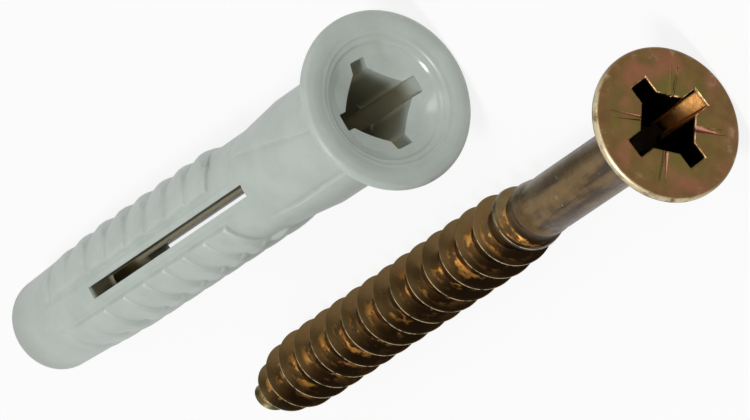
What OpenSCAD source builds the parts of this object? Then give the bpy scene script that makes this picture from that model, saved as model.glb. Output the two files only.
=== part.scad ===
// Wall plug with its screw, lying side by side as they come to rest.
// Each piece is drawn standing, with the middle of its head face at the origin and its
// length running down -z; +y is the side that faces up once the piece lies down.

/* [Plug body] */
// Length of the plug from rim face to nose
plug_len = 56; // [48:0.5:70]
// Radius of the moulded core between the ribs
core_r = 3.66; // [3.4:0.02:3.9]
// Radius of the neck just below the rim
neck_r = 3.86; // [3.6:0.02:4.2]
// Distance from rim face to the narrow end of the neck
neck_end = 17; // [12:0.5:20]
// Distance from rim face to the ring edge of the nose
nose_start = 49.4; // [44:0.2:54]
// Radius of the nose at its ring edge
nose_r = 3.7; // [3.5:0.02:3.9]
// Radius of the nose at its blunt end
nose_end_r = 3.52; // [2.8:0.02:3.68]

/* [Plug rim] */
// Outer radius of the rim
rim_r = 6.26; // [5.7:0.02:7.5]
// Radius of the rounded outer edge of the rim
lip_r = 0.45; // [0.3:0.05:0.6]
// Radius of the highest ring of the rim's crown
crest_ring_r = 5.5; // [5.2:0.02:5.6]
// Radius where the rim's crown turns down into the mouth
crown_r = 5.02; // [4.6:0.02:5.1]
// Radius of the crisp edge round the mouth
mouth_r = 4.12; // [3.9:0.02:4.4]
// Depth of that edge below the rim face
mouth_depth = 0.5; // [0.3:0.05:0.8]
// Distance from rim face to the end of the flare below the rim
flare_end = 3.4; // [2.6:0.1:5]

/* [Plug bore] */
// Radius of the entry of the bore between its four lands
land_r = 2.36; // [2:0.02:2.6]
// Distance from rim face to the top of the lands
land_top = 1.65; // [1.4:0.05:2.2]
// Distance from rim face to the end of the wide entry
entry_end = 8; // [5:0.5:10]
// Radius of the pilot bore that the thread bites into
pilot_r = 1.5; // [1.2:0.05:1.8]
// Distance from rim face to the top of the pilot bore
pilot_top = 14; // [14:0.5:16]
// Distance from rim face to the blind end of the pilot bore
pilot_end = 51; // [46:0.5:53]
// Width of the four grooves between the lands
groove_w = 1.25; // [0.8:0.05:1.6]
// Radius that the four grooves reach
groove_r = 3.3; // [2.8:0.05:3.4]
// Distance from rim face to the end of the four grooves
groove_end = 13.5; // [10:0.5:14]

/* [Plug slot] */
// Width of the expansion slot
slot_w = 0.9; // [0.6:0.05:1.3]
// Distance from rim face to the start of the slot
slot_top = 16.5; // [15.5:0.1:18]
// Distance from rim face to the end of the slot
slot_end = 42.2; // [38:0.2:45]

/* [Plug ribs] */
// Number of ribs on the half that faces up
rib_count = 8; // [5:1:8]
// Distance from one rib to the next
rib_pitch = 3.4; // [3:0.05:3.6]
// Distance from rim face to the foot of the first rib, next to the slot
rib_first = 21.2; // [20.5:0.1:22.5]
// Length of a rib's rise from foot to crest, next to the slot
rib_rise = 0.47; // [0.3:0.05:0.8]
// Length of that rise where the ribs run over the side
side_rise = 1.75; // [1:0.05:2]
// How much further towards the nose the ribs lie where they run over the side
side_lead = 1.98; // [1:0.05:2.2]
// Radius over the crests of the ribs
crest_r = 4.04; // [3.9:0.02:4.2]
// Angle from the slot to the near end of the ribs, in degrees
rib_from = 21; // [18:1:26]
// Angle from the slot to the far end of the short ribs, in degrees
rib_short = 72.5; // [66:0.5:74]
// Angle from the slot to the far end of the ribs that run over the side, in degrees
rib_long = 103.5; // [98:0.5:105]

/* [Plug fins] */
// Radius over the fins at the rim
fin_r = 4.12; // [3.95:0.02:4.4]
// Distance from rim face to where the fins start to fall
fin_full = 11.8; // [8:0.2:13]
// Distance from rim face to the pointed end of the fins
fin_end = 17.5; // [15:0.2:19]
// Offset of the fins' inner wall from the middle plane at its far end
fin_x = 2.7; // [2:0.02:3]
// Angle at which the broad fins widen towards the rim, in degrees
fin_splay = 9; // [0:1:9]

/* [Screw head] */
// Radius of the head
head_r = 5.21; // [4.4:0.05:6]
// Radius of the rounded edge of the head
head_edge = 0.35; // [0.2:0.05:0.5]
// Distance from head face to the start of the countersunk underside
head_rim = 0.55; // [0.5:0.05:0.9]
// Half angle of the countersunk underside, in degrees
head_half_angle = 45; // [40:1:50]
// Radius of the plain shank
shank_r = 1.98; // [1.8:0.02:2.1]
// Distance from head face to the end of the plain shank
shank_end = 16.8; // [14:0.2:22]

/* [Screw recess] */
// Length across two opposite arms of the cross
cross_len = 6.5; // [5:0.1:7]
// Width of an arm
cross_w = 1.4; // [1:0.05:1.7]
// Distance across the square middle of the cross
cross_mid = 3.9; // [3:0.1:4.2]
// Depth of the cross
cross_depth = 3.6; // [2.5:0.1:4]
// Share of its width that the cross keeps at the bottom
cross_taper = 0.5; // [0.4:0.05:0.7]
// Outer end of the four fine marks between the arms
mark_r = 4.05; // [3.4:0.05:4.4]
// Depth of those marks where they leave the cross
mark_depth = 0.25; // [0.1:0.05:0.4]
// Turn of the cross, in degrees
cross_turn = 3; // [-45:1:45]

/* [Screw thread] */
// Length of the screw from head face to tip
screw_len = 65; // [58:0.5:80]
// Outer radius of the thread
thread_r = 2.75; // [2.55:0.05:3]
// Root radius of the thread
root_r = 1.74; // [1.5:0.02:1.78]
// Distance from one turn to the next
thread_pitch = 2.6; // [2.2:0.05:3]
// Distance from head face to the first turn at full height
thread_full = 23.6; // [20.6:0.5:26]
// Length of the pointed end
point_len = 10.5; // [8:0.5:13]

/* [Resting place] */
// Distance between the middles of the two heads, across
axis_gap = 11.49; // [11.3:0.01:14]
// How far the screw's head lies in front of the plug's rim
head_lead = 23.2; // [20:0.2:35]
// Turn of the plug's nose away from the screw, in degrees
plug_yaw = 0.4; // [0:0.1:3]
// Turn of the screw's tip away from the plug, in degrees
screw_yaw = 0.8; // [0:0.1:3]
// Roll of the plug about its own axis, in degrees
plug_roll = -4.6; // [-10:0.1:10]

/* [Hidden] */
$fn = 64;
plug_tone = [0.70, 0.73, 0.71];
screw_tone = [0.56, 0.43, 0.22];
// How far a cut runs past the face that it opens
past = 0.5;
// How far pieces of one solid run into each other
skin = 0.02;
// Drop from the rim's crown to its rounded edge, and the depth of that edge's middle
lip_drop = 0.05;
lip_mid = lip_drop + lip_r;
fin_top = 2 * lip_mid;
rib_last = rib_first + (rib_count - 1) * rib_pitch;
// Each groove between two ribs is made of straight cuts side by side. A cut has the angles
// from the slot where it starts and ends, its lead towards the nose, the length of the rise
// to the crest, and its lean in degrees
rib_bend = 48;
long_cuts = [
    [rib_from, rib_bend, 0, rib_rise, 0],
    [rib_bend, 76, 0.3 * side_lead, 0.7 * side_rise, 34],
    [76, rib_long, side_lead, side_rise, 20]
];
short_cuts = [
    [rib_from, rib_bend, 0.05, rib_rise + 0.08, -8],
    [rib_bend, rib_short, -0.25, 0.9, -6]
];
rib_floor_r = core_r + skin;
cut_height = 0.8;
// Length of a leaning cut's floor to each side of its middle, and of the open first one
lean_reach = 0.7;
open_reach = 3.6;
// Angle by which a cut's sector runs under the one before it
cut_lap = 0.5;
// The band of ribs starts this far before the first foot, and as far before the last one
// its crests start to fall to the nose, where it ends over and then under the ring edge
band_lead = 2;
band_over = 0.1;
band_under = 0.2;
// Wall of the step inside the mouth: its height and how far its foot stands in; from it
// the bowl falls to the lands, and its surface runs on a little under the bore's edge
mouth_step = 0.25;
mouth_inset = 0.08;
bowl_lap = 0.1;
bowl_slope = (land_top - mouth_depth - mouth_step) / (mouth_r - mouth_inset - land_r);
crown_drop = 0.12;
// Length of the bore's blind tip as a share of its radius
bore_tip = 0.6;
// Ring edge of the nose and radius of the nose's blunt corner
ring_edge = 0.12;
ring_wall = 0.3;
nose_round = 0.45;
cone_end = head_rim + (head_r - shank_r) / tan(head_half_angle);
// The shank's end closes inside the thread's root, this far from its surface
stub_inset = 0.15;

// Points along an arc, from the angle a0 to the angle a1
function arc(x, y, r, a0, a1, n = 8) =
    [for (i = [0:n]) let (a = a0 + (a1 - a0) * i / n) [x + r * cos(a), y + r * sin(a)]];
// Share from 0 to 1 of the way from a to b, held at both ends
function share(v, a, b) = min(1, max(0, (v - a) / (b - a)));

// Tilt at which a piece that rests on a rounded head edge touches the floor with a ring
// of radius r at the distance l; the edge has its middle at radius er and distance el
function rest_tilt(er, el, edge, l, r) =
    let (a = er - r, c = l - el) atan2(a, c) + asin(edge / norm([a, c]));

plug_tilt = min(rest_tilt(rim_r - lip_r, lip_mid, lip_r, nose_start, nose_r),
                rest_tilt(rim_r - lip_r, lip_mid, lip_r, plug_len - nose_round, nose_end_r),
                rest_tilt(rim_r - lip_r, lip_mid, lip_r, rib_last, crest_r * cos(rib_from)));
plug_x = (axis_gap + head_r - rim_r) / 2;
plug_z = (rim_r - lip_r) * cos(plug_tilt) + lip_r + lip_mid * sin(plug_tilt);

// Length of the bare tip
tip_blunt = 0.3;
// Thread grid: each column of points follows the helix, so crests stay crisp.
// The form of one turn is given as shares of the pitch and of the thread's height
cols = 32;
thread_form = [[0, 1], [0.03, 1], [0.19, 0.05], [0.50, 0], [0.81, 0.05]];
rows = len(thread_form);
// The grid starts inside the shank, and its last turn ends just before the tip
hidden_turns = 1.35;
thread_top = shank_end - hidden_turns * thread_pitch;
turns = floor((screw_len - tip_blunt - thread_top) / thread_pitch) - 1;
taper_start = screw_len - point_len;
// The core would reach the axis this far past the tip; the crest grows from this far
// before the shank's end; the powers round the fall of both to the tip
core_past = 0.4;
crest_lead = 0.8;
core_power = 0.82;
crest_powers = [2.1, 1.2];
function core_at(l) = root_r * pow(1 - share(l, taper_start, screw_len + core_past), core_power);
function crest_at(l) = (root_r + (thread_r - root_r) * share(l, shank_end - crest_lead, thread_full))
    * pow(1 - pow(share(l, taper_start, screw_len), crest_powers[0]), crest_powers[1]);
function grid_l(i, k) = thread_top + thread_pitch * (i / cols + floor(k / rows) + thread_form[k % rows][0]);
function grid_point(i, k) =
    let (l = grid_l(i, k), r = core_at(l) + max(0, crest_at(l) - core_at(l)) * thread_form[k % rows][1], a = -360 * i / cols)
    [r * cos(a), r * sin(a), -l];
last_row = turns * rows;
function grid_id(i, k) = i == cols ? k + rows : i == 0 ? k : last_row + rows + 1 + (i - 1) * (last_row + 1) + k;

// Last full crest on the underside, a quarter turn on, where the screw rests
rest_turn = floor((taper_start - past - thread_top) / thread_pitch - 0.25) + 0.25;
rest_l = thread_top + thread_pitch * rest_turn;
screw_tilt = rest_tilt(head_r - head_edge, head_edge, head_edge, rest_l, thread_r);
screw_x = plug_x - axis_gap;
screw_z = (head_r - head_edge) * cos(screw_tilt) + head_edge * (1 + sin(screw_tilt));

// The front is the lower edge of the screw's head face, the back is the plug's nose
reach_front = -head_lead - (head_r - head_edge) * sin(screw_tilt);
reach_back = plug_len * cos(plug_tilt) + (nose_end_r - nose_round) * sin(plug_tilt);
plug_y = -(reach_front + reach_back) / 2;
screw_y = plug_y - head_lead;

// Lays a standing piece on the floor, head towards -y
module laid(x, y, z, tilt, yaw, roll = 0) {
    translate([x, y, z]) rotate([0, 0, yaw]) rotate([90 - tilt, 0, 0]) rotate([0, 0, roll]) children();
}

// Outer form of the plug without ribs and fins: rim, flare, neck, core and nose
module plug_outline() {
    flare_r = flare_end - fin_top;
    bowl_floor = land_top + bowl_lap * bowl_slope;
    rotate_extrude()
        polygon(concat(
            [[0, -bowl_floor], [land_r - bowl_lap, -bowl_floor],
             [mouth_r - mouth_inset, -mouth_depth - mouth_step], [mouth_r, -mouth_depth],
             [crown_r, -crown_drop], [crest_ring_r, 0]],
            arc(rim_r - lip_r, -lip_mid, lip_r, 80, -70, 12),
            arc(neck_r + flare_r, -flare_end, flare_r, 110, 180, 7),
            [[core_r, -neck_end], [core_r, -nose_start + ring_edge], [nose_r, -nose_start]],
            arc(nose_end_r - nose_round, -plug_len + nose_round, nose_round, 0, -90, 5),
            [[0, -plug_len]]));
}

// One straight cut before a rib, at the angle a from the slot; it rises to the rib's crest
// on the side of the nose. An open cut also clears what lies between it and the rim
module rib_cut(l, a, rise, lean, open) {
    grow = cos(lean) * cut_height / (crest_r - rib_floor_r);
    top = open ? open_reach : grow * (rib_pitch - rise);
    rotate(90 - a) translate([rib_floor_r, 0, -l]) rotate([90 + lean, 0, 0])
        linear_extrude(2 * crest_r, center = true)
            polygon([[0, 0], [cut_height, -grow * rise], [cut_height, top], if (open) [0, top]]);
}

// Sector between two angles from the slot
module sector(a0, a1) {
    polygon([[0, 0], for (i = [0:3]) let (a = a0 + (a1 - a0) * i / 3) 2 * crest_r * [sin(a), cos(a)]]);
}

// Ribs on one side of the slot, for the half that faces +y
module ribbed_side(cuts, first, count) {
    end = nose_start + ring_wall;
    difference() {
        intersection() {
            translate([0, 0, -end])
                for (cut = cuts)
                    linear_extrude(end - first - cut[2] + lean_reach) sector(cut[0] - cut_lap, cut[1]);
            rotate_extrude()
                polygon([[0, -first + band_lead], [crest_r, -first + band_lead],
                         [crest_r, -rib_last + band_lead], [nose_r + band_over, -nose_start],
                         [nose_r - band_under, -end], [0, -end]]);
        }
        for (cut = cuts, n = [0:count - 1])
            rib_cut(first + cut[2] + n * rib_pitch, (cut[0] + cut[1]) / 2, cut[3], cut[4], n == 0);
    }
}

// Ribs of the half that faces +y: those on the +x side run on over the side
module ribbed_half(first, count) {
    ribbed_side(long_cuts, first, count);
    mirror([1, 0, 0]) ribbed_side(short_cuts, first, count);
}

// The two wedge fins on the side of the slot that faces +y: a broad one and a narrow one
module fins() {
    intersection() {
        rotate_extrude()
            polygon([[0, -fin_end], [core_r - skin, -fin_end], [fin_r, -fin_full], [fin_r, -fin_top],
                     [0, -fin_top]]);
        union() {
            translate([fin_x, 0, -fin_end]) rotate([0, -fin_splay, 0]) cube([rim_r, rim_r, fin_end + 2]);
            translate([-fin_x - rim_r, 0, -fin_end]) cube([rim_r, rim_r, fin_end]);
        }
    }
}

// Slot, pilot bore and four-grooved entry
module plug_hollow() {
    translate([-slot_w / 2, -rim_r, -slot_end]) cube([slot_w, 2 * rim_r, slot_end - slot_top]);
    rotate_extrude()
        polygon([[0, past], [land_r, past], [land_r, -entry_end], [pilot_r, -pilot_top],
                 [pilot_r, -pilot_end], [0, -pilot_end - bore_tip * pilot_r]]);
    intersection() {
        translate([0, 0, -groove_end]) cylinder(r = groove_r, h = groove_end);
        for (a = [0, 90])
            rotate(a) translate([-rim_r, -groove_w / 2, -groove_end]) cube([2 * rim_r, groove_w, groove_end]);
    }
}

module wall_plug() {
    color(plug_tone)
        laid(plug_x, plug_y, plug_z, plug_tilt, -plug_yaw, plug_roll)
            difference() {
                union() {
                    plug_outline();
                    ribbed_half(rib_first, rib_count);
                    rotate(180) ribbed_half(rib_first - 1.5 * rib_pitch, rib_count + 1);
                    for (half = [0, 180]) rotate(half) fins();
                }
                plug_hollow();
            }
}

// Cross recess with a square middle and four fine marks between the arms
module drive_recess() {
    translate([0, 0, -cross_depth])
        linear_extrude(cross_depth + skin, scale = 1 / cross_taper) scale(cross_taper) {
            square([cross_len, cross_w], center = true);
            square([cross_w, cross_len], center = true);
            rotate(45) square(cross_mid, center = true);
        }
    for (a = [45:90:315])
        rotate(a) translate([mark_r, 0, 0])
            rotate([0, -atan(mark_depth / (mark_r - cross_mid / 2)), 0]) rotate([45, 0, 0])
                translate([-mark_r, -mark_depth, -mark_depth]) cube([mark_r, 2 * mark_depth, 2 * mark_depth]);
}

// Threaded end as one closed grid of points
module thread() {
    faces = concat(
        [for (i = [0:cols - 1], k = [0:last_row - 1])
            each [[grid_id(i, k), grid_id(i, k + 1), grid_id(i + 1, k)],
                  [grid_id(i + 1, k), grid_id(i, k + 1), grid_id(i + 1, k + 1)]]]);
    points = concat(
        [for (k = [0:last_row + rows]) grid_point(0, k)],
        [for (i = [1:cols - 1], k = [0:last_row]) grid_point(i, k)],
        [[0, 0, -thread_top - thread_pitch / 2], [0, 0, -screw_len]]);
    hub = len(points) - 2;
    tip = len(points) - 1;
    caps = concat(
        [for (i = [0:cols - 1]) [hub, grid_id(i, 0), grid_id(i + 1, 0)]],
        [for (k = [0:rows - 1]) [hub, grid_id(0, k + 1), grid_id(0, k)]],
        [for (i = [0:cols - 1]) [tip, grid_id(i + 1, last_row), grid_id(i, last_row)]],
        [for (k = [0:rows - 1]) [tip, grid_id(0, last_row + k), grid_id(0, last_row + k + 1)]]);
    polyhedron(points, concat(faces, caps));
}

module screw() {
    color(screw_tone)
        laid(screw_x, screw_y, screw_z, screw_tilt, screw_yaw)
            difference() {
                union() {
                    rotate_extrude()
                        polygon(concat(
                            [[0, 0]],
                            arc(head_r - head_edge, -head_edge, head_edge, 90, 0, 5),
                            [[head_r, -head_rim], [shank_r, -cone_end], [shank_r, -shank_end],
                             [root_r - stub_inset, -shank_end - past], [0, -shank_end - past]]));
                    thread();
                }
                rotate(cross_turn) drive_recess();
            }
}

wall_plug();
screw();
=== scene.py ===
"""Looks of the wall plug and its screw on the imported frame: pieces, finishes, floor, light, camera."""

import math

import bmesh
import bpy
from mathutils import Matrix, Vector


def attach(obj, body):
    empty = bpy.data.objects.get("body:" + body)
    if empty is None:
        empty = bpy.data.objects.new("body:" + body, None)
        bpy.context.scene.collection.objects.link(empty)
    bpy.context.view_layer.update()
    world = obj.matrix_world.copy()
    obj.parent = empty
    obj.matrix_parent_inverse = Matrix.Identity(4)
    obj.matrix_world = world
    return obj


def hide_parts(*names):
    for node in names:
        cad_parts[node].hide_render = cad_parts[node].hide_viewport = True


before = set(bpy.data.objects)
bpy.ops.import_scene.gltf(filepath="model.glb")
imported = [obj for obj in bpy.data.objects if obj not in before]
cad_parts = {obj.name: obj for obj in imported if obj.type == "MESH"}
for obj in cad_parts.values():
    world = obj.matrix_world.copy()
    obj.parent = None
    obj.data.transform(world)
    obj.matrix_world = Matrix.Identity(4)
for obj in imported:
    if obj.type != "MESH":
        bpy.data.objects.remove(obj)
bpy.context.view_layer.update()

# All lengths below are millimetres and all angles degrees. Each piece is shaped standing: its
# head face at the origin, its length down -z, and +y the side that faces up once it lies down.
MM = 0.001
PLUG_PLACE = (5.22, -16.3281, 6.27767)
PLUG_TURN = (90 - 2.85001, -0.4, -4.6)
SCREW_PLACE = (-6.27, -39.5281, 5.22105)
SCREW_TURN = (90 - 2.67859, 0.8, 0.0)
# Bend between two faces from which the edge between them is crisp
SHARP = 32


def about(axis, angle, size=3):
    """Matrix of a rotation about an axis."""
    return Matrix.Rotation(math.radians(angle), size, axis)


def lay(place, turn):
    """Matrix that lays a standing piece down: lean about x, then turn about z; its roll comes first."""
    lean, yaw, roll = turn
    laid = about("Z", yaw, 4) @ about("X", lean, 4) @ about("Z", roll, 4)
    return Matrix.Translation(place) @ laid


def share(value, low, high):
    """Share of the way from low to high, held at both ends."""
    return min(1.0, max(0.0, (value - low) / (high - low)))


def ease(value, low, high):
    """The same with a soft start and end."""
    t = share(value, low, high)
    return t * t * (3 - 2 * t)


def soft_low(a, b, width):
    """The lower of two heights, with the corner between them rounded over."""
    near = max(width - abs(a - b), 0.0) / width
    return min(a, b) - near * near * width / 4


def soft_high(a, b, width):
    """The higher of two heights, with the corner between them filled."""
    return -soft_low(-a, -b, width)


def steps(start, end, count):
    """Evenly spread values, without the last."""
    return [start + (end - start) * i / count for i in range(count)]


def arc(middle_r, middle, size, start, end, count):
    """Points (radius, length) of an arc in a profile; angle 0 is outwards, and 90 is to the face."""
    angles = [math.radians(start + (end - start) * i / count) for i in range(count + 1)]
    return [(middle_r + size * math.cos(a), middle - size * math.sin(a)) for a in angles]


def strand(bm, points):
    """Points added to a bmesh, each joined to the next."""
    made = [bm.verts.new(point) for point in points]
    for first, second in zip(made, made[1:]):
        bm.edges.new((first, second))


def turned(profile, count):
    """A bmesh spun from a profile of (radius, length) points that starts and ends on the axis."""
    bm = bmesh.new()
    strand(bm, [(radius, 0, -length) for radius, length in profile])
    bmesh.ops.spin(
        bm,
        geom=bm.verts[:] + bm.edges[:],
        cent=(0, 0, 0),
        axis=(0, 0, 1),
        angle=2 * math.pi,
        steps=count,
        use_merge=True,
    )
    bmesh.ops.remove_doubles(bm, verts=bm.verts[:], dist=1e-5)
    bmesh.ops.recalc_face_normals(bm, faces=bm.faces[:])
    return bm


def block(low, high, turn=0.0, foot=1.0):
    """A bmesh box between two corners, turned about the z axis, and drawn in at its lower end."""
    bm = bmesh.new()
    bmesh.ops.create_cube(bm, size=1.0)
    size = [high[i] - low[i] for i in range(3)]
    bmesh.ops.scale(bm, vec=size, verts=bm.verts[:])
    middle = [(high[i] + low[i]) / 2 for i in range(3)]
    bmesh.ops.translate(bm, vec=middle, verts=bm.verts[:])
    base = [v for v in bm.verts if v.co.z < middle[2]]
    bmesh.ops.scale(bm, vec=(foot, foot, 1), verts=base)
    bmesh.ops.rotate(bm, cent=(0, 0, 0), matrix=about("Z", turn), verts=bm.verts[:])
    return bm


def bevel_upright(bm, width, segments):
    """Rounds the upright edges of a block that is more than 1 mm high."""
    upright = [e for e in bm.edges if abs(e.verts[0].co.z - e.verts[1].co.z) > 1]
    bmesh.ops.bevel(
        bm,
        geom=upright,
        offset=width,
        segments=segments,
        profile=0.5,
        affect="EDGES",
        material=-1,
    )


def piece(name, bm):
    """An object made of a bmesh."""
    mesh = bpy.data.meshes.new(name)
    bm.to_mesh(mesh)
    bm.free()
    made = bpy.data.objects.new(name, mesh)
    bpy.context.scene.collection.objects.link(made)
    return made


def join(body, tools, operation):
    """Cuts other solids out of a body, or adds them to it, and drops them."""
    for tool in tools:
        step = body.modifiers.new(tool.name, "BOOLEAN")
        step.operation = operation
        step.solver = "EXACT"
        step.object = tool
    made = body.evaluated_get(bpy.context.evaluated_depsgraph_get())
    mesh = bpy.data.meshes.new_from_object(made)
    body.modifiers.clear()
    body.data = mesh
    for tool in tools:
        bpy.data.objects.remove(tool)


def settle(body, place, turn, node):
    """Lays a shaped piece at its place, gives it crisp and soft edges, and puts it on the frame."""
    body.data.transform(Matrix.Scale(MM, 4) @ lay(place, turn))
    body.data.shade_smooth()
    body.data.set_sharp_from_angle(angle=math.radians(SHARP))
    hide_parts(node)
    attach(body, "root")


# Wall plug: rim, neck with its fins, ribbed legs and nose
PLUG_LEN = 56.0
PLUG_COLUMNS = 240
RIM_R = 6.26
LIP_R = 0.45
LIP_MIDDLE = 0.5
NECK_R = 3.86
NECK_START = 3.4
NECK_END = 17.0
CORE_R = 3.66
NOSE_START = 49.4
NOSE_R = 3.7
NOSE_END_R = 3.52
NOSE_ROUND = 0.45
# Length over which the body widens to the nose, how far it gets there, and where its taper ends
NOSE_LEAD = 0.12
NOSE_WIDENS = 0.06
NOSE_TAPER_END = 55.55
# Points with a smaller radius lie on the body, and those with a larger one on the rim
BODY_REACH = 5
# Nothing is raised on the face, in the mouth behind it, on the end of the nose, and on the
# nose beyond this length; the ribs end a little before it
FACE_END = 1.1
MOUTH_R = 4.6
MOUTH_END = 3
NOSE_FACE_R = 2
NOSE_PLAIN = NOSE_START + 0.6
RIBS_END = NOSE_START + 0.4
# Width of the fillets at the foot of what is raised on the body, and at that of the ribs
FILLET = 0.05
RIB_FILLET = 0.04

# Profile of the mouth, in (radius, length) points: an even bowl, its steeper wall, a fine ring
# edge, and the crown of the face. The bowl's points follow from its outer edge and its fall.
BOWL_EDGE_R = 4
BOWL_EDGE = 0.771
BOWL_FALL = 0.536
BOWL_RADII = steps(2.2, 4.0, 9) + [3.94]
MOUTH_WALL = [(3.99, 0.765), (4.02, 0.735), (4.06, 0.686), (4.1, 0.636), (4.14, 0.587), (4.18, 0.545)]
RING_EDGE = [(4.3, 0.48), (4.42, 0.42), (4.47, 0.385), (4.505, 0.345), (4.54, 0.302), (4.575, 0.259)]
CROWN = [(4.61, 0.24), (4.76, 0.22), (4.9, 0.17), (4.98, 0.125), (5.06, 0.09), (5.16, 0.06)]
CROWN += [(5.36, 0.015), (5.5, 0.0), (5.62, 0.008)]
# Dimples in the bowl: length down to which they lie, depth, and the radii between which
# they start and end
BOWL_END = 1.9
DIMPLE = 0.17
DIMPLE_IN = (2.4, 3.3)
DIMPLE_OUT = (3.4, 4.0)

# Ribs: angles from the slot at which they begin and end, the short and the long way
RIB_PITCH = 3.4
RIB_COUNT = 8
RIB_FIRST = 21.2
RIB_FROM = (18.3, 23.1)
RIB_SHORT = 74.5
RIB_LONG = 105.5
# Each half's first foot, number of ribs and radius over their crests
UPPER_HALF = (RIB_FIRST, RIB_COUNT, 4.06)
LOWER_HALF = (RIB_FIRST - 1.5 * RIB_PITCH, RIB_COUNT + 1, 3.97)
# Half the angle over which one half's ribs run into the other's
MEETING = 4.0
# Radius from which ribs rise, height of the grooves between them, and how much more it is near
# the slot, up to these angles and this length
RIB_BASE = CORE_R - 0.05
GROOVE_FLOOR = 0.07
FLOOR_LIFT = 0.19
LIFT_ANGLES = (45, 82)
LIFT_END = 45.0
# The crests fall from here to the last one's radius, and behind it to below the nose
CREST_FALL_START = 43.0
LAST_CREST_R = NOSE_R + 0.08
NOSE_STEP = 0.28
NOSE_STEP_LEN = 0.25
# Ribs that rise over less than this start softly; all fall off with this power
STEEP_RISE = 0.9
RIB_FALL_POWER = 1.6
# Where a rib's foot and crest lie past the first foot, at angles from the slot: on the side
# where the ribs run over the side, and on the other
LONG_FOOT = ((20, 0.05), (37, 0.0), (50, 0.15), (60, 0.55), (70, 1.05), (80, 1.6), (90, 2.0), (105, 2.3))
LONG_CREST = (
    (20, 0.33),
    (37, 0.3),
    (50, 0.58),
    (56, 1.02),
    (63, 1.75),
    (70, 2.45),
    (80, 3.2),
    (90, 3.75),
    (105, 4.3),
)
SHORT_FOOT = ((20, 0.2), (37, 0.05), (51, -0.1), (63, -0.25), (75, -0.3))
SHORT_CREST = ((20, 0.48), (37, 0.36), (51, 0.42), (63, 0.58), (75, 0.72))
# How far the soft change between two points of such a table reaches past them
TABLE_BLEND = 0.35
# Rows of points on the neck, round each rib, counted from its foot, and on the nose
NECK_ROWS = steps(3.7, 15.6, 44) + steps(15.6, 21.0, 44)
RIB_ROWS = (-1.45, -1.1, -0.75, -0.45, -0.22, -0.1, -0.04, 0.0, 0.04, 0.1, 0.17)
RIB_ROWS += (0.24, 0.32, 0.4, 0.48, 0.56, 0.65, 0.8, 1.05, 1.4, 1.8)
NOSE_ROWS = [49.3, 49.4, 49.5, 49.6, 49.72, 49.9, 50.3] + steps(50.8, 55.4, 8)
# Rows follow the ribs' feet between these lengths, and change over softly
FOLLOW_START = (17.5, 21.0)
FOLLOW_END = (46.5, 49.0)
# Half the angle over which rows step from one side of the lower half to the other
ROW_STEP = 14

# Fins: a broad and a narrow one on each half, up to a plain wall beside the slot, and the plain
# strip on both sides of the slot. Their surface begins this far below the body's.
SUNK = 0.2
FIN_R = 4.12
FIN_FULL = 11.8
FIN_END = 17.5
FIN_X = 2.66
FIN_SPLAY = math.tan(math.radians(9))
FIN_REACH = 3.95
# Width of a fin's side, counted from its wall on both sides
FIN_SIDE_IN = 0.05
FIN_SIDE_OUT = 0.09
# Columns of points are drawn to a fin's wall round this angle, from and to these ones
WALL_ANGLE = 40
WALL_FROM = -38
WALL_TO = 88
STRIP_RISE = 0.26
STRIP_SIDE = (13.5, 18.0)
STRIP_START = (16.6, 18.4)

# Hollow: bore with its funnel, square entry with rounded corners, four grooves, and slot
BORE_R = 1.5
BORE_END = 51.0
FUNNEL_R = 2.35
FUNNEL_TOP = 7.0
FUNNEL_START = 8.0
FUNNEL_END = 14.0
CUT_START = 0.6
ENTRY_HALF = 2.25
ENTRY_END = 7.6
ENTRY_ROUND = 0.5
GROOVE_REACH = 3.3
GROOVE_HALF = 0.625
GROOVE_END = 13.5
GROOVE_ROUND = 0.12
SLOT_HALF = 0.45
SLOT_START = 16.5
SLOT_END = 42.2
SLOT_REACH = 7


def opposite(angle):
    """The same direction, counted from the other half's slot."""
    return angle - 180 if angle > 0 else angle + 180


def from_own_slot(angle):
    """A direction counted from the slot of the half in which it lies."""
    return angle if abs(angle) <= 90 else opposite(angle)


def between(table, value):
    """Value read off a table of points, held at both ends."""
    for (low, start), (high, end) in zip(table, table[1:]):
        if value <= high:
            past = TABLE_BLEND * (high - low)
            return start + (end - start) * ease(value, low - past, high + past)
    return table[-1][1]


def rib_foot(angle):
    """Where the feet of the ribs lie past the first one, at an angle from their half's slot."""
    return between(LONG_FOOT if angle > 0 else SHORT_FOOT, abs(angle))


def envelope(length, crest):
    """Radius over the crests of the ribs."""
    if length < CREST_FALL_START:
        return crest
    if length < NOSE_START:
        return crest + (LAST_CREST_R - crest) * share(length, CREST_FALL_START, NOSE_START)
    return LAST_CREST_R - NOSE_STEP * share(length, NOSE_START, NOSE_START + NOSE_STEP_LEN)


def rib_rise(length, angle, half):
    """Rise of one half's ribs over their base; those at positive angles run over the side."""
    first, count, crest_r = half
    side = abs(angle)
    end, crest_line = RIB_SHORT, SHORT_CREST
    if angle > 0:
        end, crest_line = RIB_LONG, LONG_CREST
    inside = ease(side, *RIB_FROM) * (1 - ease(side, end - MEETING, end + MEETING))
    foot = first + rib_foot(angle)
    number = math.floor((length - foot) / RIB_PITCH)
    if inside == 0 or number < 0 or length > RIBS_END:
        return 0.0
    rise = between(crest_line, side) - rib_foot(angle)
    past = length - foot - number * RIB_PITCH
    up = share(past, 0, rise)
    climb = up * (2 - up)
    if rise < STEEP_RISE:
        climb = up * up * (2 - up) ** 2
    fall = max(0.0, (past - rise) / (RIB_PITCH - rise))
    height = min(climb, 1 - fall**RIB_FALL_POWER)
    if number >= count and past > rise:
        height = 1.0
    crest = envelope(length, crest_r) - RIB_BASE
    lift = (1 - ease(side, *LIFT_ANGLES)) * (1 - ease(length, LIFT_END, NOSE_START))
    floor = GROOVE_FLOOR + FLOOR_LIFT * lift
    return (floor + (crest - floor) * height) * inside


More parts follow.
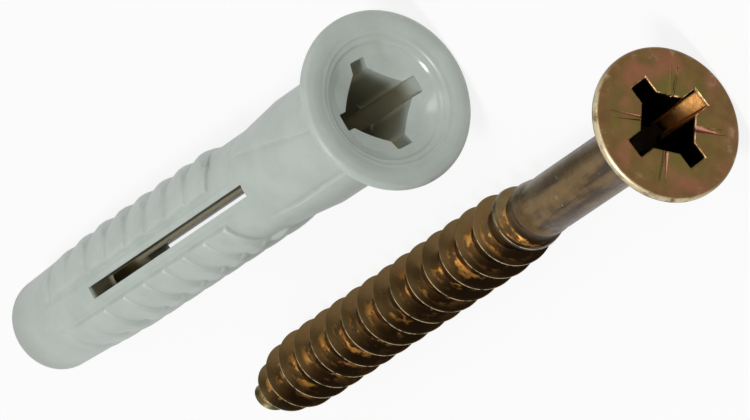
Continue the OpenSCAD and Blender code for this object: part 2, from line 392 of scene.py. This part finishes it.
def ribs_radius(length, angle):
    """Radius over the ribs; where the two halves meet, one half's ribs run into the other's."""
    rise = rib_rise(length, angle, UPPER_HALF) + rib_rise(length, opposite(angle), LOWER_HALF)
    return RIB_BASE + rise if rise > 0 else 0.0


def fin_wall(length):
    """Distance from the slot's plane to the broad fin's wall, which splays towards the nose."""
    return FIN_X - (FIN_END - length) * FIN_SPLAY


def fin_radius(length, angle):
    """Radius of the fins of one half: a broad one at positive angles and a narrow one at negative."""
    if length > FIN_END:
        return 0.0
    across = FIN_REACH * math.sin(math.radians(abs(angle)))
    wall = fin_wall(length) if angle > 0 else FIN_X
    inside = 1.0 if abs(angle) > 90 else ease(across, wall - FIN_SIDE_IN, wall + FIN_SIDE_OUT)
    top = FIN_R - (FIN_R - CORE_R) * share(length, FIN_FULL, FIN_END)
    return CORE_R - SUNK + (top - CORE_R + SUNK) * inside


def strip_radius(length, angle):
    """Radius of the plain strip on both sides of the slot."""
    side = 1 - ease(abs(angle), *STRIP_SIDE)
    return CORE_R - SUNK + STRIP_RISE * side * ease(length, *STRIP_START)


def rib_shift(angle):
    """How far a row of points lies towards the nose at an angle, so that rows follow the ribs' feet."""
    other = opposite(angle)
    upper = rib_foot(angle)
    lower = rib_foot(other) + RIB_PITCH / 2 * (1 - 2 * ease(other, -ROW_STEP, ROW_STEP))
    begun = ease(angle, -RIB_SHORT - MEETING, -RIB_SHORT + MEETING)
    own = begun * (1 - ease(angle, RIB_LONG - MEETING, RIB_LONG + MEETING))
    return lower + (upper - lower) * own


def along_fin(length, angle):
    """Angle of a point on the neck, drawn to the broad fin's wall so that columns follow it."""
    local = from_own_slot(angle)
    wall = math.degrees(math.asin(share(fin_wall(length), 0, FIN_REACH)))
    pull = ease(local, WALL_FROM, WALL_ANGLE) * (1 - ease(local, WALL_ANGLE, WALL_TO))
    local += (wall - WALL_ANGLE) * pull * (1 - ease(length, FIN_END - 1.2, FIN_END + 1))
    return local if abs(angle) <= 90 else opposite(local)


def neck_radius(length):
    """Radius of the neck, which gets slimmer, and of the body beyond it."""
    return NECK_R + (CORE_R - NECK_R) * share(length, NECK_START, NECK_END)


def body_radius(length):
    """Radius of the plain body from the neck to the nose."""
    if length > NOSE_START:
        return NOSE_R + (NOSE_END_R - NOSE_R) * share(length, NOSE_START, NOSE_TAPER_END)
    if length >= NOSE_START - NOSE_LEAD:
        return CORE_R + NOSE_WIDENS * ease(length, NOSE_START - NOSE_LEAD, NOSE_START)
    return neck_radius(length)


def plug_outline():
    """Profile of the plug without ribs and fins, from the middle of its face to that of its nose."""
    flare = NECK_START - 2 * LIP_MIDDLE
    bowl = [(radius, BOWL_EDGE + (BOWL_EDGE_R - radius) * BOWL_FALL) for radius in BOWL_RADII]
    lip = arc(RIM_R - LIP_R, LIP_MIDDLE, LIP_R, 80, -70, 16)
    back = arc(NECK_R + flare, NECK_START, flare, 112, 180, 16)
    rows = list(NECK_ROWS)
    for number in range(RIB_COUNT + 1):
        for offset in RIB_ROWS:
            length = RIB_FIRST + number * RIB_PITCH + offset
            if rows[-1] + 0.02 < length < NOSE_START - 0.1:
                rows.append(length)
    rows += NOSE_ROWS
    body = [(body_radius(length), length) for length in rows]
    nose = arc(NOSE_END_R - NOSE_ROUND, PLUG_LEN - NOSE_ROUND, NOSE_ROUND, 0, -90, 8)
    mouth = [(0, bowl[0][1])] + bowl + MOUTH_WALL + RING_EDGE + CROWN
    return mouth + lip + back + body + nose + [(1.6, PLUG_LEN), (0, PLUG_LEN)]


def shape_plug():
    """The plug's outer form: the spun outline with fins, ribs and strips raised on it."""
    bm = turned(plug_outline(), PLUG_COLUMNS)
    for vert in bm.verts:
        length = -vert.co.z
        radius = math.hypot(vert.co.x, vert.co.y)
        if length < BOWL_END and radius < BOWL_EDGE_R:
            # Shallow dimples in the bowl between the four grooves
            lobe = 0.5 - 0.5 * math.cos(4 * math.atan2(vert.co.y, vert.co.x))
            vert.co.z -= DIMPLE * lobe * ease(radius, *DIMPLE_IN) * (1 - ease(radius, *DIMPLE_OUT))
        in_mouth = length < FACE_END or radius < MOUTH_R and length < MOUTH_END
        if in_mouth or radius < NOSE_FACE_R or length > NOSE_PLAIN:
            continue
        angle = math.degrees(math.atan2(vert.co.x, vert.co.y))
        if length < FIN_END + 1 and radius < BODY_REACH:
            angle = along_fin(length, angle)
        length += rib_shift(angle) * ease(length, *FOLLOW_START) * (1 - ease(length, *FOLLOW_END))
        if radius < BODY_REACH and NECK_START < length < NOSE_START - NOSE_LEAD:
            radius = neck_radius(length)
        own = from_own_slot(angle)
        radius = soft_high(radius, fin_radius(length, own), FILLET)
        radius = soft_high(radius, ribs_radius(length, angle), RIB_FILLET)
        if length < NOSE_START:
            radius = soft_high(radius, strip_radius(length, own), FILLET)
        turn = math.radians(angle)
        vert.co = (radius * math.sin(turn), radius * math.cos(turn), -length)
    bm.normal_update()
    return piece("plug_moulding", bm)


def plug_cutters():
    """The hollow of the plug: bore, square entry, the four grooves of its mouth, and the slot."""
    funnel = [(0, FUNNEL_TOP), (FUNNEL_R, FUNNEL_TOP), (FUNNEL_R, FUNNEL_START)]
    bore = [(BORE_R, FUNNEL_END), (BORE_R, BORE_END), (0, BORE_END + 0.9)]
    made = [piece("bore", turned(funnel + bore, 96))]
    entry = block((-ENTRY_HALF, -ENTRY_HALF, -ENTRY_END), (ENTRY_HALF, ENTRY_HALF, -CUT_START), 45)
    bevel_upright(entry, ENTRY_ROUND, 6)
    made.append(piece("entry", entry))
    for number, turn in enumerate((0, 90)):
        low = (-GROOVE_REACH, -GROOVE_HALF, -GROOVE_END)
        groove = block(low, (GROOVE_REACH, GROOVE_HALF, -CUT_START), turn)
        bevel_upright(groove, GROOVE_ROUND, 3)
        made.append(piece(f"groove_{number}", groove))
    slot = block((-SLOT_HALF, -SLOT_REACH, -SLOT_END), (SLOT_HALF, SLOT_REACH, -SLOT_START))
    made.append(piece("slot", slot))
    return made


# Screw: countersunk head, plain shank, wood thread and point
SCREW_LEN = 65.0
SCREW_COLUMNS = 128
HEAD_R = 5.21
HEAD_EDGE = 0.35
HEAD_SIDE_END = 0.55
CONE_START = 0.6
CONE_END = 3.51
SHANK_START = 4.0
SHANK_R = 1.98
SHANK_END = 16.8
THREAD_R = 2.75
ROOT_R = 1.74
PITCH = 2.6
TURNS = 18
THREAD_TOP = SHANK_END - 1.35 * PITCH
THREAD_FULL = 23.6
TAPER_START = 54.5
THREAD_COLUMNS = 84
# The thread lies hidden in the shank down to here, and then grows over this length
HIDDEN_END = SHANK_END - 0.9
HIDDEN_R = SHANK_R - 0.25
GROWTH = (SHANK_END - 0.4, THREAD_FULL + 0.4)
# The thread's first crest and root lie this far below the shank
CREST_SUNK = 0.03
CORE_SUNK = 0.02
# Powers of the crest's growth, of the root's taper and of the crest's
GROWTH_POWER = 0.9
CORE_POWER = 0.82
CREST_POWERS = (2.1, 1.2)
# Half a crest's flat, how much wider it is at the thread's start, and the flank beside it, all
# as shares of a turn; height of the hollow root's ends
CREST_FLAT = 0.012
START_FLAT = 0.27
START_FLAT_POWER = 1.6
FLANK = 0.17
ROOT_RISE = 0.05
# Places of the points along a turn, closer where the form bends
TURN_PLACES = (0, 0.014, 0.04, 0.08, 0.12, 0.155, 0.18, 0.21, 0.26, 0.34, 0.44)
TURN_PLACES += (0.52, 0.6, 0.68, 0.74, 0.79, 0.82, 0.845, 0.88, 0.92, 0.96, 0.986)

# Recess: arms from tip to tip and across, the square middle, and the worn edge round them
RECESS_DEPTH = 3.6
ARM_LONG = 6.5
ARM_WIDE = 1.4
SQUARE = 3.9
ARM_ROUND = 0.1
FLOOR_SHARE = 0.5
CROSS_TURN = 3
WORN = 0.055
# The four fine marks, each a notch with a scratch beside it: direction of the first, where
# they begin, half their widths there and at their outer ends, how far they reach, and how far
# each scratch leans
MARK_TURN = 48
MARK_START = 1.85
NOTCH_HALVES = (0.13, 0.17, 0.26, 0.25)
NOTCH_TIP = 0.03
NOTCH_REACH = 2.3
SCRATCH_HALF = 0.07
SCRATCH_TIP = 0.02
SCRATCH_REACH = 2.0
SCRATCH_LEANS = (7, -6, 5, -7)


def thread_radius(length, turn):
    """Radius of the thread at a length and a share of the turn past the crest."""
    if length < HIDDEN_END:
        return HIDDEN_R
    grown = share(length, *GROWTH)
    growth = ease(grown, 0.02, 1.08) ** GROWTH_POWER
    crest = SHANK_R - CREST_SUNK + (THREAD_R - SHANK_R + CREST_SUNK) * growth
    core = ROOT_R + (SHANK_R - ROOT_R - CORE_SUNK) * (1 - ease(grown, 0, 0.75))
    core *= (1 - share(length, TAPER_START, SCREW_LEN + 0.4)) ** CORE_POWER
    start_power, end_power = CREST_POWERS
    crest *= (1 - share(length, TAPER_START, SCREW_LEN) ** start_power) ** end_power
    away = min(turn, 1 - turn)
    flat = CREST_FLAT + START_FLAT * (1 - grown) ** START_FLAT_POWER
    rise = 1 - share(away, flat, flat + FLANK)
    root = ROOT_RISE * (1 - ease(away, flat + FLANK - 0.03, 0.5))
    return core + max(0.0, crest - core) * soft_high(rise, root, 0.06)


def shape_thread():
    """The thread: one column of points swept along the helix, then moved to the thread's form."""
    bm = bmesh.new()
    places = [number + place for number in range(TURNS) for place in TURN_PLACES] + [TURNS]
    strand(bm, [(1, 0, -(THREAD_TOP + PITCH * place)) for place in places])
    bmesh.ops.spin(
        bm,
        geom=bm.verts[:] + bm.edges[:],
        cent=(0, 0, 0),
        axis=(0, 0, 1),
        dvec=(0, 0, -PITCH / THREAD_COLUMNS),
        angle=-2 * math.pi,
        steps=THREAD_COLUMNS,
    )
    bmesh.ops.remove_doubles(bm, verts=bm.verts[:], dist=1e-4)
    for vert in bm.verts:
        length = -vert.co.z
        around = math.atan2(vert.co.y, vert.co.x)
        turn = ((length - THREAD_TOP) / PITCH + around / (2 * math.pi)) % 1.0
        radius = thread_radius(length, turn)
        vert.co.x = radius * math.cos(around)
        vert.co.y = radius * math.sin(around)
    open_edges = [e for e in bm.edges if e.is_boundary]
    filled = bmesh.ops.holes_fill(bm, edges=open_edges, sides=0)["faces"]
    bmesh.ops.triangulate(bm, faces=filled)
    bmesh.ops.recalc_face_normals(bm, faces=bm.faces[:])
    return piece("thread", bm)


def shape_screw():
    """Head and shank, with the thread added to them."""
    face = [(0, 0), (2.5, 0), (4.2, 0)]
    edge = arc(HEAD_R - HEAD_EDGE, HEAD_EDGE, HEAD_EDGE, 90, 0, 8)
    cone = [(HEAD_R, HEAD_SIDE_END), (HEAD_R - 0.03, CONE_START), (SHANK_R + 0.25, CONE_END)]
    shank = [(SHANK_R + 0.08, 3.72), (SHANK_R, SHANK_START), (SHANK_R, 10.0), (SHANK_R, SHANK_END - 0.3)]
    end = [(SHANK_R - 0.05, SHANK_END + 0.1), (1.6, SHANK_END + 0.5), (0, SHANK_END + 0.5)]
    body = piece("screw_body", turned(face + edge + cone + shank + end, SCREW_COLUMNS))
    join(body, [shape_thread()], "UNION")
    return body


def recess_rim(x, y, turn):
    """The worn chamfer round a bar of the recess: a shallow block whose lower end is drawn in."""
    rim = block((-x - WORN, -y - WORN, -WORN), (x + WORN, y + WORN, 0.001), turn)
    for vert in [v for v in rim.verts if v.co.z < -WORN / 2]:
        flat = about("Z", -turn) @ vert.co
        flat.x -= math.copysign(WORN, flat.x)
        flat.y -= math.copysign(WORN, flat.y)
        vert.co = about("Z", turn) @ flat
    return rim


def fine_mark(inner, outer, reach, direction):
    """A four-sided cone that lies in the head's face and gets finer from the recess outwards."""
    mark = bmesh.new()
    bmesh.ops.create_cone(mark, cap_ends=True, segments=4, radius1=inner, radius2=outer, depth=reach)
    bmesh.ops.rotate(mark, cent=(0, 0, 0), matrix=about("Y", 90), verts=mark.verts[:])
    bmesh.ops.translate(mark, vec=(MARK_START + reach / 2, 0, 0), verts=mark.verts[:])
    bmesh.ops.rotate(mark, cent=(0, 0, 0), matrix=about("Z", direction), verts=mark.verts[:])
    return mark


def recess_cutters():
    """The cross recess with its square middle, a worn chamfer round it, and the four fine marks."""
    made = []
    bars = ((ARM_LONG, ARM_WIDE, 0), (ARM_WIDE, ARM_LONG, 0), (SQUARE, SQUARE, 45))
    for number, (wide, deep, lean) in enumerate(bars):
        x = wide / 2
        y = deep / 2
        turn = CROSS_TURN + lean
        bar = block((-x, -y, -RECESS_DEPTH), (x, y, 0.02), turn, FLOOR_SHARE)
        bevel_upright(bar, ARM_ROUND, 3)
        made.append(piece(f"recess_{number}", bar))
        made.append(piece(f"rim_{number}", recess_rim(x, y, turn)))
    for number, (half, lean) in enumerate(zip(NOTCH_HALVES, SCRATCH_LEANS)):
        direction = MARK_TURN + 90 * number
        notch = fine_mark(half, NOTCH_TIP, NOTCH_REACH, direction)
        made.append(piece(f"notch_{number}", notch))
        scratch = fine_mark(SCRATCH_HALF, SCRATCH_TIP, SCRATCH_REACH, direction + lean)
        made.append(piece(f"scratch_{number}", scratch))
    return made


class Value:
    """A socket of a material, on which Python's operators add Math nodes."""

    def __init__(self, tree, out=None):
        self.tree = tree
        self.out = out

    def node(self, kind, settings, inputs, out=0):
        """A new node of a kind: its settings first, then the values or links of its sockets."""
        made = self.tree.nodes.new(kind)
        for name, setting in settings.items():
            setattr(made, name, setting)
        for name, given in inputs.items():
            if isinstance(given, Value):
                self.tree.links.new(given.out, made.inputs[name])
            else:
                made.inputs[name].default_value = given
        return Value(self.tree, made.outputs[out])

    def maths(self, operation, *given):
        """A Math node on the values given."""
        return self.node("ShaderNodeMath", {"operation": operation}, dict(enumerate(given)))

    def __add__(self, other):
        return self.maths("ADD", self, other)

    def __sub__(self, other):
        return self.maths("SUBTRACT", self, other)

    def __rsub__(self, other):
        return self.maths("SUBTRACT", other, self)

    def __mul__(self, other):
        return self.maths("MULTIPLY", self, other)

    def __truediv__(self, other):
        return self.maths("DIVIDE", self, other)

    __radd__ = __add__
    __rmul__ = __mul__

    def rise(self, low, high):
        """0 below low, 1 above high, and a soft change between them."""
        inputs = {"Value": self, "From Min": low, "From Max": high, "To Min": 0.0, "To Max": 1.0}
        return self.node("ShaderNodeMapRange", {"interpolation_type": "SMOOTHSTEP"}, inputs)

    def band(self, low, high, soft):
        """1 between low and high, with soft sides."""
        return self.rise(low - soft, low + soft) * (1 - self.rise(high - soft, high + soft))

    def mixed(self, first, second):
        """The first colour where this value is 0, and the second where it is 1."""
        return self.node("ShaderNodeMix", {"data_type": "RGBA"}, {0: self, 6: first, 7: second}, 2)

    def stretched(self, x, y, z):
        """This vector with each direction drawn out or pressed together."""
        inputs = {0: self, 1: (x, y, z)}
        return self.node("ShaderNodeVectorMath", {"operation": "MULTIPLY"}, inputs, "Vector")

    def noise(self, scale, detail=3.0, rough=0.5):
        """Noise between 0 and 1 over this vector."""
        settings = {"noise_dimensions": "3D"}
        inputs = {"Vector": self, "Scale": scale, "Detail": detail, "Roughness": rough}
        return self.node("ShaderNodeTexNoise", settings, inputs, "Fac")


class Finish:
    """A new material, with the values over its standing piece that its finish is worked out from."""

    def __init__(self, name, place, turn):
        self.material = bpy.data.materials.new(name)
        self.material.use_nodes = True
        self.tree = self.material.node_tree
        self.shader = self.tree.nodes["Principled BSDF"]
        start = Value(self.tree)
        where = start.node("ShaderNodeTexCoord", {}, {}, "Object")
        matrix = lay(place, turn)
        spot = [v * MM for v in matrix.to_translation()]
        size = (MM, MM, MM)
        inputs = {"Vector": where, "Location": spot, "Rotation": matrix.to_euler(), "Scale": size}
        # Place on the standing piece in millimetres, length from its face, distance from its axis
        self.local = start.node("ShaderNodeMapping", {"vector_type": "TEXTURE"}, inputs)
        split = [start.node("ShaderNodeSeparateXYZ", {}, {"Vector": self.local}, axis) for axis in "XYZ"]
        self.x, self.y, z = split
        self.length = z * -1.0
        squares = self.x * self.x + self.y * self.y
        self.radius = squares.maths("SQRT", squares)

    def feed(self, name, value):
        """Links a value that changes over the surface to the shader."""
        self.tree.links.new(value.out, self.shader.inputs[name])

    def grain(self, strength, distance, height):
        """Links a fine relief to the shader, its distance in metres."""
        inputs = {"Strength": strength, "Distance": distance, "Height": height}
        self.feed("Normal", height.node("ShaderNodeBump", {}, inputs, "Normal"))

    def dress(self, body):
        """Puts the material on a piece."""
        body.data.materials.clear()
        body.data.materials.append(self.material)


def colour(red, green, blue):
    """A colour given as it shows on a screen, from 0 to 255."""
    linear = []
    for value in (red, green, blue):
        value /= 255
        linear.append(value / 12.92 if value <= 0.04045 else ((value + 0.055) / 1.055) ** 2.4)
    return (*linear, 1.0)


NYLON = (colour(168, 177, 170), colour(177, 186, 179))
# Painted shade of the hollow: olive tones in the entry, and in the legs a pale cream for the bore's wall
# and a dark tone for the slot's walls
ENTRY_TINT_AND_SHADE = (colour(150, 147, 124), colour(204, 200, 176))
LEG_PALE_AND_SHADE = (colour(235, 228, 196), colour(92, 84, 60))

PLATING = (colour(88, 68, 40), colour(112, 88, 54))
FACE_BRONZE = (colour(108, 82, 50), colour(120, 94, 58))
GREEN = colour(100, 98, 46)
PINK = colour(150, 92, 74)
EDGE_BROWN = colour(128, 108, 72)
# Painted highlight over some wear, on the head's edge where it faces up
EDGE_WEAR_AND_GLINT = colour(222, 206, 170)
SCUFF = colour(168, 164, 140)
# Painted reflections on the shank: dark streaks, and a lighter sheen between them
DARK_REFLECTION = colour(50, 37, 20)
SHEEN = colour(124, 100, 60)
FLECK = colour(190, 176, 142)
# Painted light and shade of the thread: its far side dark, the side towards the plug pale
THREAD_LIT_AND_SHADED = (colour(56, 39, 19), colour(112, 90, 58))
RUST = colour(112, 68, 30)
# Painted glint on the thread's flanks
GOLD_GLINT = colour(224, 160, 80)
# Painted shade on the thread's far flanks
FAR_FLANK_SHADE = colour(24, 16, 9)
# Painted highlight along the thread's crests
CREST = colour(216, 200, 156)
RUNOUT = colour(112, 116, 88)
TIP = colour(104, 104, 76)
# One wall of each notch with a painted highlight, the other with painted shade
NOTCH_LIT_AND_SHADED = (colour(222, 150, 132), colour(34, 24, 14))
# Painted shade inside the recess
RECESS_SHADE = colour(12, 8, 5)
# Painted sheen in the recess's lower arm
ARM_SHEEN = colour(222, 160, 92)
# Painted glints over the wear of the recess's edge
RECESS_EDGE_GLINT = colour(236, 184, 140)


def finish_plug(plug):
    """Light grey moulded nylon, with painted shade in its hollow, faint flow marks and a fine grain."""
    made = Finish("moulded_nylon", PLUG_PLACE, PLUG_TURN)
    length, radius = made.length, made.radius
    tone = made.local.noise(0.35, 4.0, 0.6).rise(0.3, 0.7).mixed(*NYLON)
    # The hollow: painted shade with an olive tint in the entry, darker towards the funnel; in the legs,
    # darker painted shade on the slot's walls and a pale cream on the bore's own wall
    deep = (1 - radius.rise(3.3, 3.63)) * length.rise(1.5, 4.0)
    entry = radius.rise(FUNNEL_R, 2.6).mixed(*ENTRY_TINT_AND_SHADE)
    legs = radius.rise(1.55, 2.0).mixed(*LEG_PALE_AND_SHADE)
    tone = (deep * 0.95).mixed(tone, length.rise(13.0, 15.0).mixed(entry, legs))
    made.feed("Base Color", tone)
    mouth = (1 - radius.rise(4.2, 4.7)) * (1 - length.rise(1.0, 1.6))
    made.feed("Roughness", 0.36 + 0.1 * made.local.noise(1.6, 4.0, 0.6) - 0.24 * mouth)
    made.grain(0.2, 0.00003, made.local.noise(4.0, 5.0, 0.6))
    made.shader.inputs["IOR"].default_value = 1.53
    made.shader.inputs["Subsurface Weight"].default_value = 0.3
    made.shader.inputs["Subsurface Radius"].default_value = (1.0, 0.95, 0.8)
    made.shader.inputs["Subsurface Scale"].default_value = 0.0012
    made.dress(plug)


def paint_head(made, tone, fine, mottle):
    """Face with soft green patches round the recess and pink ones beyond it, and a worn edge with a
    painted highlight where it faces up.
    """
    x, y, length, radius = made.x, made.y, made.length, made.radius
    face = 1 - length.rise(0.25, 0.6)
    tone = face.mixed(tone, mottle.rise(0.3, 0.7).mixed(*FACE_BRONZE))
    green = (made.local.noise(0.33, 3.0, 0.5) + 0.25 * fine).rise(0.48, 0.75)
    tone = (face * radius.band(1.9, 3.9, 0.8) * green * 0.7).mixed(tone, GREEN)
    pink = (made.local.noise(0.42, 2.0, 0.5) + 0.2 * fine).rise(0.52, 0.75)
    tone = (face * radius.band(3.0, 5.1, 0.6) * pink * 0.6).mixed(tone, PINK)
    # Head edge: a pale line where it faces up, a painted highlight over some real wear, and dull scuffs
    # here and there
    edge = radius.rise(5.0, 5.14) * (1 - length.rise(0.4, 0.7))
    tone = (edge * 0.5).mixed(tone, EDGE_BROWN)
    up_side = (y - 0.2 * x).rise(-0.5, 3.5)
    tone = (edge * up_side * mottle.rise(0.3, 0.5) * 0.75).mixed(tone, EDGE_WEAR_AND_GLINT)
    scuff = (edge + 0.7 * face * radius.rise(3.9, 4.9)) * (mottle + 0.25 * fine).rise(0.68, 0.8)
    return (scuff * 0.5).mixed(tone, SCUFF)


def paint_shank(made, tone):
    """Shank and cone: dark streaks along the length and a sheen between them, both painted reflections,
    and a few pale flecks.
    """
    shank = made.length.band(0.7, 17.4, 0.3)
    streak = made.local.stretched(1.0, 1.0, 0.1).noise(0.9, 4.0, 0.55)
    # Painted reflections: dark streaks along the length, and a lighter sheen between them
    tone = (shank * streak.rise(0.47, 0.6) * 0.85).mixed(tone, DARK_REFLECTION)
    tone = (shank * (1 - streak.rise(0.38, 0.46)) * 0.5).mixed(tone, SHEEN)
    fleck = made.local.stretched(1.0, 1.0, 0.4).noise(2.2, 3.0, 0.6).rise(0.68, 0.74)
    return (shank * fleck * 0.5).mixed(tone, FLECK)


def paint_thread(made, tone, fine, mottle):
    """Thread: pale crests with a painted highlight, painted golden glints beside them, and painted shade
    on the flanks that face the head.
    """
    x, y, length = made.x, made.y, made.length
    around = x.maths("ARCTAN2", y, x)
    winding = (length - THREAD_TOP) / PITCH + around / (2 * math.pi)
    helix = winding.maths("FRACT", winding)
    thread = length.rise(17.5, 20.0)
    # Painted light and shade: the side that lies to the plug is painted paler than the far one
    lit_side = x.rise(-1.4, 2.6)
    tone = (thread * 0.9).mixed(tone, lit_side.mixed(*THREAD_LIT_AND_SHADED))
    unrolled = x.node("ShaderNodeCombineXYZ", {}, {"X": winding * 9.0, "Y": around * 1.3})
    lines = unrolled.noise(1.0, 3.0, 0.6)
    rusty = thread * helix.band(0.3, 0.92, 0.08) * mottle.rise(0.44, 0.6)
    tone = (rusty * (0.3 + 0.7 * lines.rise(0.4, 0.55)) * 0.6).mixed(tone, RUST)
    # Painted golden glints on the flanks beside the crests, near the top of the thread
    middle = x.band(-1.7, 1.3, 0.7) * y.rise(-0.5, 1.0)
    gold_glint = thread * middle * helix.band(0.74, 0.9, 0.04) * lines.rise(0.5, 0.62)
    tone = (gold_glint * 0.9).mixed(tone, GOLD_GLINT)
    # Painted shade on the flanks that face the head, on the side away from the plug
    shaded_flanks = thread * helix.band(0.45, 0.985, 0.03) * (1 - x.rise(-1.5, 0.8))
    tone = (shaded_flanks * (1 - 0.35 * lines.rise(0.5, 0.65)) * 0.92).mixed(tone, FAR_FLANK_SHADE)
    # Painted highlight: pale lines along the crests, on the side away from the plug
    crest = helix.rise(0.98, 0.992) + (1 - helix.rise(0.008, 0.02))
    crest = thread * crest * (1 - x.rise(0.0, 2.0))
    tone = (crest * (fine + 0.3 * mottle).rise(0.5, 0.72) * 0.85).mixed(tone, CREST)
    runout = length.band(17.6, 21.5, 0.8) * lit_side * x.rise(0.4, 1.6) * mottle.rise(0.35, 0.6)
    tone = (runout * 0.45).mixed(tone, RUNOUT)
    return (length.rise(58, 64) * 0.6).mixed(tone, TIP)


def paint_recess(made, tone, fine):
    """Recess and marks: painted shade nearly black inside, with painted glints on worn edges."""
    x, y, length, radius = made.x, made.y, made.length, made.radius
    # Marks: one wall of each notch pink with a painted highlight, the other with painted shade
    mark_cos = math.cos(math.radians(MARK_TURN))
    mark_sin = math.sin(math.radians(MARK_TURN))
    along = x * mark_cos + y * mark_sin
    across = y * mark_cos - x * mark_sin
    first_pair = across.band(-0.32, 0.32, 0.02)
    second_pair = (1 - first_pair) * along.band(-0.32, 0.32, 0.02)
    notch = (first_pair + second_pair) * length.rise(0.02, 0.05) * (1 - length.rise(0.28, 0.34))
    notch = notch * radius.band(2.02, 4.2, 0.04)
    shaded_wall = first_pair * across.rise(-0.02, 0.02) + second_pair * along.rise(-0.02, 0.02)
    tone = (notch * 0.9).mixed(tone, shaded_wall.mixed(*NOTCH_LIT_AND_SHADED))
    # Recess: painted shade on its walls, a painted brown sheen in its lower arm, and painted glints over
    # the wear of its edge
    hollow = (1 - radius.rise(3.35, 3.5)) * (1 - length.rise(3.7, 3.9)) * (1 - notch)
    inner = hollow * length.rise(0.08, 0.25)
    tone = (inner * 0.98).mixed(tone, RECESS_SHADE)
    # Painted sheen: a lit brown strip on the walls of the lower arm
    lower_arm = inner * (1 - y.rise(-1.2, -0.2)) * x.band(-0.62, 0.62, 0.1)
    tone = (lower_arm * (1 - length.rise(3.0, 3.55)) * 0.95).mixed(tone, ARM_SHEEN)
    # Painted glints over the wear of the recess's edge, on the side towards -y
    worn = hollow * length.band(0.012, 0.1, 0.01) * (0.25 * x - y).rise(-1.4, 1.6)
    return (worn * fine.rise(0.4, 0.6) * 0.9).mixed(tone, RECESS_EDGE_GLINT)


def finish_screw(screw):
    """Steel with worn yellow plating: bronze with green and pink, pale wear, and painted shade,
    highlights and reflections.
    """
    made = Finish("worn_plating", SCREW_PLACE, SCREW_TURN)
    fine = made.local.noise(2.4, 5.0, 0.65)
    mottle = made.local.noise(0.9, 4.0, 0.6)
    tone = mottle.rise(0.35, 0.65).mixed(*PLATING)
    tone = paint_head(made, tone, fine, mottle)
    tone = paint_shank(made, tone)
    tone = paint_thread(made, tone, fine, mottle)
    tone = paint_recess(made, tone, fine)
    made.feed("Base Color", tone)
    made.feed("Roughness", 0.26 + 0.22 * fine)
    drawn = made.local.stretched(1.6, 1.6, 0.3).noise(1.4, 4.0, 0.6)
    made.grain(0.35, 0.00004, made.local.noise(3.5, 5.0, 0.7) + 0.6 * drawn)
    made.shader.inputs["Metallic"].default_value = 1.0
    made.dress(screw)


# Stage and lamps, in metres: name, place, size and power of each lamp, which points at the origin
WHITE = (1, 1, 1, 1)
FLOOR_SIZE = 1.2
LAMPS = (
    ("lamp_above", (-0.12, -0.24, 0.8), 0.2, 3.6),
    ("lamp_front", (0.5, -0.6, 0.45), 0.3, 0.8),
)
# How much of the floor's look is its own glow, and how strongly the white world lights
FLOOR_GLOW = 0.85
WORLD_LIGHT = 0.47


def seen(tree):
    """1 for rays from the camera, and for those that metal and glass send on."""
    rays = Value(tree)
    outs = ("Is Camera Ray", "Is Glossy Ray", "Is Transmission Ray")
    camera, glossy, through = (rays.node("ShaderNodeLightPath", {}, {}, out) for out in outs)
    return camera.maths("MAXIMUM", camera.maths("MAXIMUM", camera, glossy), through)


def build_stage():
    """White floor that keeps a faint shadow, white world, and soft lamps."""
    bm = bmesh.new()
    bmesh.ops.create_grid(bm, x_segments=1, y_segments=1, size=FLOOR_SIZE)
    floor = piece("floor", bm)
    white = bpy.data.materials.new("white_floor")
    white.use_nodes = True
    tree = white.node_tree
    shader = tree.nodes["Principled BSDF"]
    shader.inputs["Base Color"].default_value = (0.8, 0.8, 0.8, 1)
    shader.inputs["Roughness"].default_value = 0.9
    rays = seen(tree)
    glow = rays.node("ShaderNodeEmission", {}, {"Color": WHITE, "Strength": 1.0}, "Emission")
    inputs = {0: rays * FLOOR_GLOW, 1: Value(tree, shader.outputs[0]), 2: glow}
    blend = rays.node("ShaderNodeMixShader", {}, inputs)
    tree.links.new(blend.out, tree.nodes["Material Output"].inputs["Surface"])
    floor.data.materials.append(white)
    world = bpy.data.worlds.new("white_room")
    world.use_nodes = True
    bpy.context.scene.world = world
    tree = world.node_tree
    level = WORLD_LIGHT + (1 - WORLD_LIGHT) * seen(tree)
    back = tree.nodes["Background"]
    back.inputs["Color"].default_value = WHITE
    tree.links.new(level.out, back.inputs["Strength"])
    for name, spot, size, power in LAMPS:
        light = bpy.data.lights.new(name, "AREA")
        light.energy = power
        light.size = size
        lamp = bpy.data.objects.new(name, light)
        lamp.location = spot
        lamp.rotation_euler = (-Vector(spot)).to_track_quat("-Z", "Y").to_euler()
        bpy.context.scene.collection.objects.link(lamp)


# Camera of the photograph, from a fit of the outlines of plug and screw; focal length in pixels
CAMERA_SPOT = (-0.46, -438.324, 295.432)
CAMERA_DOWN = 33.869
CAMERA_ROLL = -123.813
FOCAL_PIXELS = 7700
PICTURE_WIDTH = 750
SENSOR = 36.0


def place_camera():
    """The camera, set as the scene's own."""
    lens = bpy.data.cameras.new("camera")
    lens.sensor_width = SENSOR
    lens.lens = SENSOR * FOCAL_PIXELS / PICTURE_WIDTH
    camera = bpy.data.objects.new("camera", lens)
    spot = Matrix.Translation([v * MM for v in CAMERA_SPOT])
    camera.matrix_world = spot @ about("X", 90 - CAMERA_DOWN, 4) @ about("Z", CAMERA_ROLL, 4)
    bpy.context.scene.collection.objects.link(camera)
    bpy.context.scene.camera = camera
    bpy.context.scene.view_settings.view_transform = "Standard"


plug = shape_plug()
join(plug, plug_cutters(), "DIFFERENCE")
settle(plug, PLUG_PLACE, PLUG_TURN, "wall_plug")
screw = shape_screw()
join(screw, recess_cutters(), "DIFFERENCE")
settle(screw, SCREW_PLACE, SCREW_TURN, "screw")
finish_plug(plug)
finish_screw(screw)
build_stage()
place_camera()
